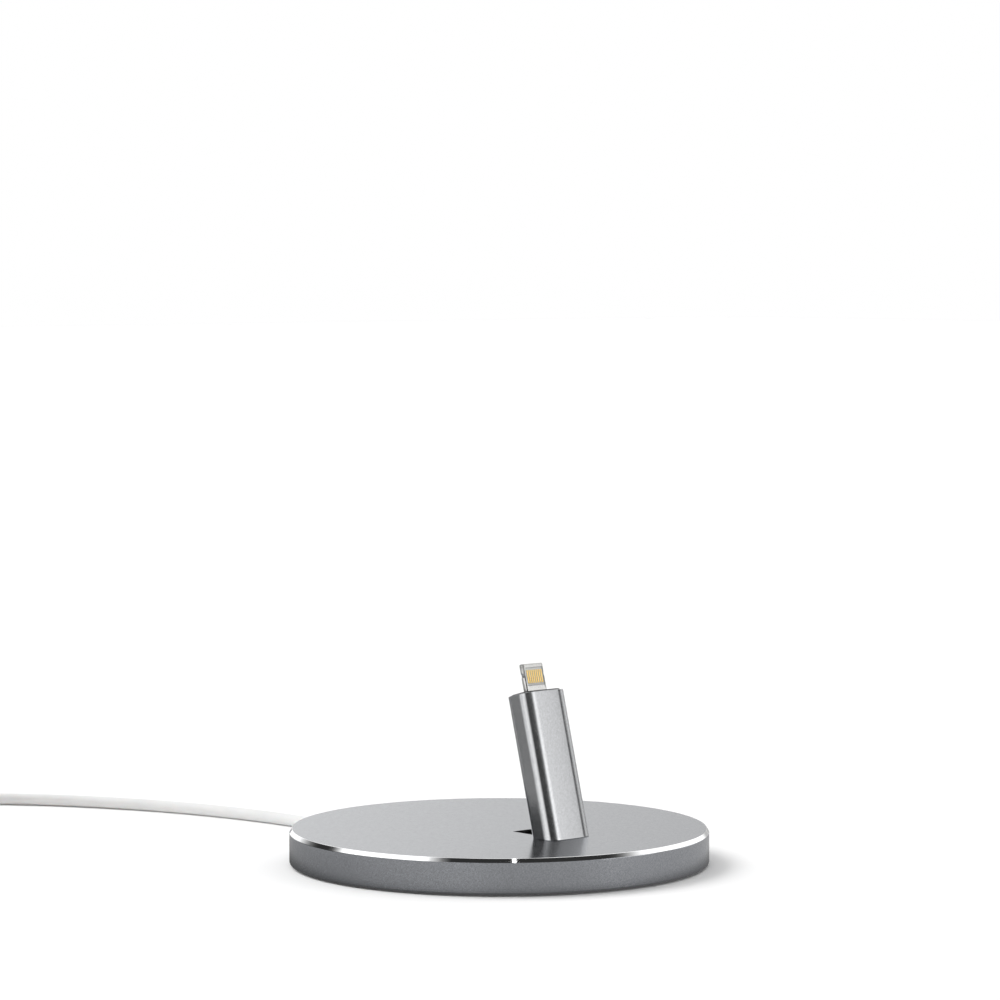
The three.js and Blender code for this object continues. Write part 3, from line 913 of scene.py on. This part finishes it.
def make_tie(looks):
    """A strap drawn taut round the coil's turns, with its end lying over its start."""
    half = TIE_WIDE / 2
    edge = TIE_EDGE
    section = [(-half, edge), (-half, TIE_THICK - edge), (-half + edge, TIE_THICK), (half - edge, TIE_THICK)]
    section += [(half, TIE_THICK - edge), (half, edge), (half - edge, 0), (-half + edge, 0)]
    outline = tie_outline()
    path = [(LEAD_RADIUS, *point) for point in outline]
    overlap = LEAD_RADIUS + TIE_THICK + FIT
    path.append((overlap - TIE_THICK / 2, *outline[0]))
    path += [(overlap, *point) for point in outline[1:TIE_OVERLAP_STEPS]]
    rings = []
    for reach, corner, way in path:
        ring = []
        for across, height in section:
            at = corner + way * (reach + height)
            ring.append(Vector((at.x, across, at.y)))
        rings.append(ring)
    middle = Matrix.Translation((COIL_CENTRE[0] * MM, COIL_CENTRE[1] * MM, 0))
    place = middle @ Matrix.Rotation(TIE_ANGLE, 4, "Z")
    return finish_piece("coil_tie", scaled_mesh(loft(rings)), [looks["strap"]], place)


# Stage
FLOOR_HALF = 6
FLOOR_LEVEL = 0.94
FLOOR_Z = -0.02


def make_floor():
    """A plain pale floor, a hair below the stand so that no two faces lie in one plane."""
    bm = bmesh.new()
    bmesh.ops.create_grid(bm, x_segments=1, y_segments=1, size=FLOOR_HALF)
    mesh = bpy.data.meshes.new("floor")
    bm.to_mesh(mesh)
    bm.free()
    look = Look("floor", 0.8)
    look.colour(look.noise(6, 2), (FLOOR_LEVEL,) * 3, (FLOOR_LEVEL + 0.01,) * 3)
    mesh.materials.append(look.material)
    floor = bpy.data.objects.new("floor", mesh)
    floor.location.z = FLOOR_Z * MM
    bpy.context.scene.collection.objects.link(floor)


# The studio round the stand: five bands of walls, lowest first. Each holds stops round the horizon, as
# degrees from +X towards +Y and a brightness.
FRONT_STOPS = [
    (230, 0.03), (280, 0.04), (291, 2.75), (298, 1.9), (305, 1.38), (313, 1.28), (322, 1.2), (326, 0.02),
    (334, 0.02), (341, 0.9),
]
BACK_STOPS = [(32, 0.55), (44, 0.62), (56, 1.0), (66, 1.3)]
STRIPE_STOPS = [
    (81, 1.25), (86, 0.84), (91.5, 0.4), (95, 0.18), (99, 0.06), (102, 0.03), (109.5, 0.03), (113, 0.1),
]
GROUND_STOPS = [
    (0, 0.4), (24, 0.5), *BACK_STOPS, (84, 1.2), (92, 0.15), (114, 0.03), (142, 0.03), (155, 1.8), (215, 1.8),
    *FRONT_STOPS,
]
LOW_STOPS = [
    (0, 1.4), (20, 1.3), (26, 0.6), *BACK_STOPS, (84, 1.2), (92, 0.15), (114, 0.03), (142, 0.03), (155, 0.7),
    (178, 0.7), (186, 1.8), (215, 1.8), *FRONT_STOPS,
]
MIDDLE_STOPS = [
    (0, 1.3), (24, 1.3), *BACK_STOPS, *STRIPE_STOPS, (168, 0.12), (180, 0.8), (212, 0.8), *FRONT_STOPS,
]
RAISED_STOPS = [
    (0, 1.4), (26, 1.4), (34, 0.5), (68, 0.6), (76, 1.3), *STRIPE_STOPS, (116, 0.46), (121, 1.5), (150, 1.5),
    (165, 0.5), (325, 0.45), (338, 1.3),
]
HIGH_STOPS = [
    (0, 1.4), (26, 1.4), (34, 0.5), (68, 0.6), (76, 1.3), (88, 1.3), (93, 0.03), (113, 0.03), (121, 1.5),
    (173, 1.5), (177, 0.79), (180, 0.58), (185, 0.2), (191, 0.03), (307, 0.03), (312, 0.06), (316, 0.18),
    (320, 0.4), (324, 0.75), (331, 1.4),
]
# Where each band ends and the next begins, in degrees up
BAND_EDGES = [(3, 6), (11.5, 15), (20, 25), (33, 37)]
# A small bright light: its first and last azimuth, and the sine of its height with the margin either way
SPOT = (239.3, 242.2)
SPOT_HEIGHT = (0.86, 0.05)
SPOT_LEVEL = 3
# The ceiling, the same straight overhead as the metal reflects it, and the degrees up where each begins
CEILING = 1.7
CEILING_EDGE = (66, 75)
ZENITH_REFLECTED = 0.9
ZENITH_EDGE = (78, 83)

# The dim card on the floor, a painted reflection of the floor for the metal. Its brightness goes from low to
# high between two distances from the middle, in metres, and is weighted by how far a place on it lies to one
# side of the stand.
CARD_INNER = 46
CARD_OUTER = 900
CARD_Z = 0.05
# Darkest next to the base: painted shade in the floor's reflection round the base's foot.
CARD_NEAR = {"low": 0.32, "high": 0.86, "start": 0.052, "end": 0.062}
CARD_FAR = {"low": 0.0, "high": 0.2, "start": 0.062, "end": 0.1}
CARD_BEYOND = {"low": 0.0, "high": -0.22, "start": 0.1, "end": 0.2}
CARD_BESIDE = {"low": 0.40, "high": 0.58, "start": -1, "end": 1}
CARD_AROUND = {"low": 0.55, "high": 0.25, "start": -1, "end": 1}
CARD_SIDE = (0.751, -0.66, 0)

SUN_ENERGY = 1.75
SUN_SPREAD = math.radians(40)
SUN_HEADING = (0.36, -0.6, -0.7)


def stop_ramp(tree, stops, share):
    """A ramp round the horizon; share is the azimuth as 0 to 1."""
    ramp = tree.nodes.new("ShaderNodeValToRGB")
    elements = ramp.color_ramp.elements
    while len(elements) < len(stops) + 1:
        elements.new(0.5)
    for element, (degrees, level) in zip(elements, [*stops, (360, stops[0][1])]):
        element.position = degrees / 360
        element.color = (level, level, level, 1)
    tree.links.new(share, ramp.inputs["Fac"])
    return ramp.outputs["Color"]


def make_world():
    """The studio's walls and ceiling, which the camera itself sees as plain white."""
    world = bpy.data.worlds.new("studio")
    world.use_nodes = True
    tree = world.node_tree
    background = tree.nodes["Background"]
    bpy.context.scene.world = world

    def math_node(operation, *values):
        made = tree.nodes.new("ShaderNodeMath")
        made.operation = operation
        for socket, value in zip(made.inputs, values):
            if isinstance(value, (int, float)):
                socket.default_value = value
            else:
                tree.links.new(value, socket)
        return made.outputs[0]

    def mixed(share, first, second):
        made = tree.nodes.new("ShaderNodeMix")
        made.data_type = "RGBA"
        tree.links.new(share, made.inputs[0])
        for socket, value in ((made.inputs[6], first), (made.inputs[7], second)):
            if isinstance(value, tuple):
                socket.default_value = value
            else:
                tree.links.new(value, socket)
        return made.outputs[2]

    def smooth(value, low, high):
        made = tree.nodes.new("ShaderNodeMapRange")
        made.interpolation_type = "SMOOTHSTEP"
        made.inputs["From Min"].default_value = math.sin(math.radians(low))
        made.inputs["From Max"].default_value = math.sin(math.radians(high))
        tree.links.new(value, made.inputs["Value"])
        return made.outputs["Result"]

    split = tree.nodes.new("ShaderNodeSeparateXYZ")
    tree.links.new(tree.nodes.new("ShaderNodeTexCoord").outputs["Generated"], split.inputs[0])
    angle = math_node("ARCTAN2", split.outputs["Y"], split.outputs["X"])
    share = math_node("FRACT", math_node("ADD", math_node("DIVIDE", angle, 2 * math.pi), 1.0))
    walls = stop_ramp(tree, GROUND_STOPS, share)
    for edge, stops in zip(BAND_EDGES, (LOW_STOPS, MIDDLE_STOPS, RAISED_STOPS, HIGH_STOPS)):
        walls = mixed(smooth(split.outputs["Z"], *edge), walls, stop_ramp(tree, stops, share))
    beside = math_node("COMPARE", share, sum(SPOT) / 720, (SPOT[1] - SPOT[0]) / 720)
    above = math_node("COMPARE", split.outputs["Z"], *SPOT_HEIGHT)
    lit = mixed(math_node("MULTIPLY", beside, above), walls, (SPOT_LEVEL, SPOT_LEVEL, SPOT_LEVEL, 1))
    rays = tree.nodes.new("ShaderNodeLightPath").outputs
    zenith = math_node("MULTIPLY", rays["Is Glossy Ray"], smooth(split.outputs["Z"], *ZENITH_EDGE))
    overhead = mixed(zenith, (CEILING, CEILING, CEILING, 1), (ZENITH_REFLECTED,) * 3 + (1,))
    studio = mixed(smooth(split.outputs["Z"], *CEILING_EDGE), lit, overhead)
    tree.links.new(mixed(rays["Is Camera Ray"], studio, (1, 1, 1, 1)), background.inputs["Color"])


def make_reflected_floor():
    """A card lying on the floor that only reflections see, so that the metal reflects a dim floor: a painted
    reflection, darkest next to the base as painted shade.
    """
    rings = [circle(radius, CARD_Z, 96) for radius in (CARD_INNER, CARD_OUTER)]
    bm = loft(rings)
    bmesh.ops.delete(bm, geom=[f for f in bm.faces if len(f.verts) > 4], context="FACES_ONLY")
    card = bpy.data.objects.new("reflected_floor", scaled_mesh(bm))
    bpy.context.scene.collection.objects.link(card)
    look = Look("reflected_floor", 1.0)
    distance = look.node("ShaderNodeVectorMath", operation="LENGTH")
    look.link(look.place, distance.inputs[0])
    near, far, beyond = [
        look.ramp(distance.outputs["Value"], **levels) for levels in (CARD_NEAR, CARD_FAR, CARD_BEYOND)
    ]
    heading = look.node("ShaderNodeVectorMath", operation="NORMALIZE")
    look.link(look.place, heading.inputs[0])
    across = look.node("ShaderNodeVectorMath", operation="DOT_PRODUCT")
    look.link(heading.outputs["Vector"], across.inputs[0])
    across.inputs[1].default_value = CARD_SIDE
    at_side, around = [
        look.ramp(across.outputs["Value"], **weights) for weights in (CARD_BESIDE, CARD_AROUND)
    ]

    def combined(operation, first, second):
        made = look.node("ShaderNodeMath", operation=operation)
        look.link(first, made.inputs[0])
        look.link(second, made.inputs[1])
        return made.outputs[0]

    beside = combined("MULTIPLY", near, at_side)
    outer = combined("MULTIPLY", combined("ADD", far, beyond), around)
    emission = look.node("ShaderNodeEmission")
    look.link(combined("ADD", beside, outer), emission.inputs["Strength"])
    look.link(emission.outputs[0], look.tree.nodes["Material Output"].inputs["Surface"])
    card.data.materials.append(look.material)
    card.visible_camera = False
    card.visible_diffuse = False
    card.visible_shadow = False


def make_lights():
    make_world()
    make_reflected_floor()
    data = bpy.data.lights.new("sun", "SUN")
    data.energy = SUN_ENERGY
    data.angle = SUN_SPREAD
    sun = bpy.data.objects.new("sun", data)
    sun.rotation_euler = Vector(SUN_HEADING).to_track_quat("-Z", "Y").to_euler()
    sun.visible_glossy = False
    bpy.context.scene.collection.objects.link(sun)


looks = {
    "base_blasted": blasted_aluminium("base_blasted", (0.457, 0.470, 0.497), 0.08),
    "post_blasted": blasted_aluminium("post_blasted", (0.468, 0.474, 0.484), 0.05),
    "cut": cut_aluminium(),
    "machined": machined_aluminium(),
    # The slot's walls: near-black painted shade.
    "slot": slot_painted_shade(),
    "zinc": zinc_steel(),
    "nickel": nickel_plate(),
    "gold": gold_plate(),
    "white": white_plastic(),
    "cable": cable_jacket(),
    "black": black_plastic(),
    "silicone": silicone(),
    "strap": woven_strap(),
}

make_camera()
free_points = [Vector(point) for point in LEAD_ROUTE] + coil_points() + tail_points()
free_lead = tube("free_lead", free_points, looks["cable"])
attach(free_lead, BODY)
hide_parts("lead_free", "lead_coil", "lead_tail")
make_supply(looks)
make_tie(looks)
inner_lead = tube("inner_lead", inner_points(), looks["cable"])
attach(inner_lead, BODY)
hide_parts("lead_inner")

make_base(looks)
make_ballast(looks)
make_screws(looks)
make_mat(looks)
make_post(looks)
make_carrier(looks)
make_phone_plug(looks)
make_phone_relief(looks)

make_floor()
make_lights()
bpy.context.scene.view_settings.view_transform = "Standard"
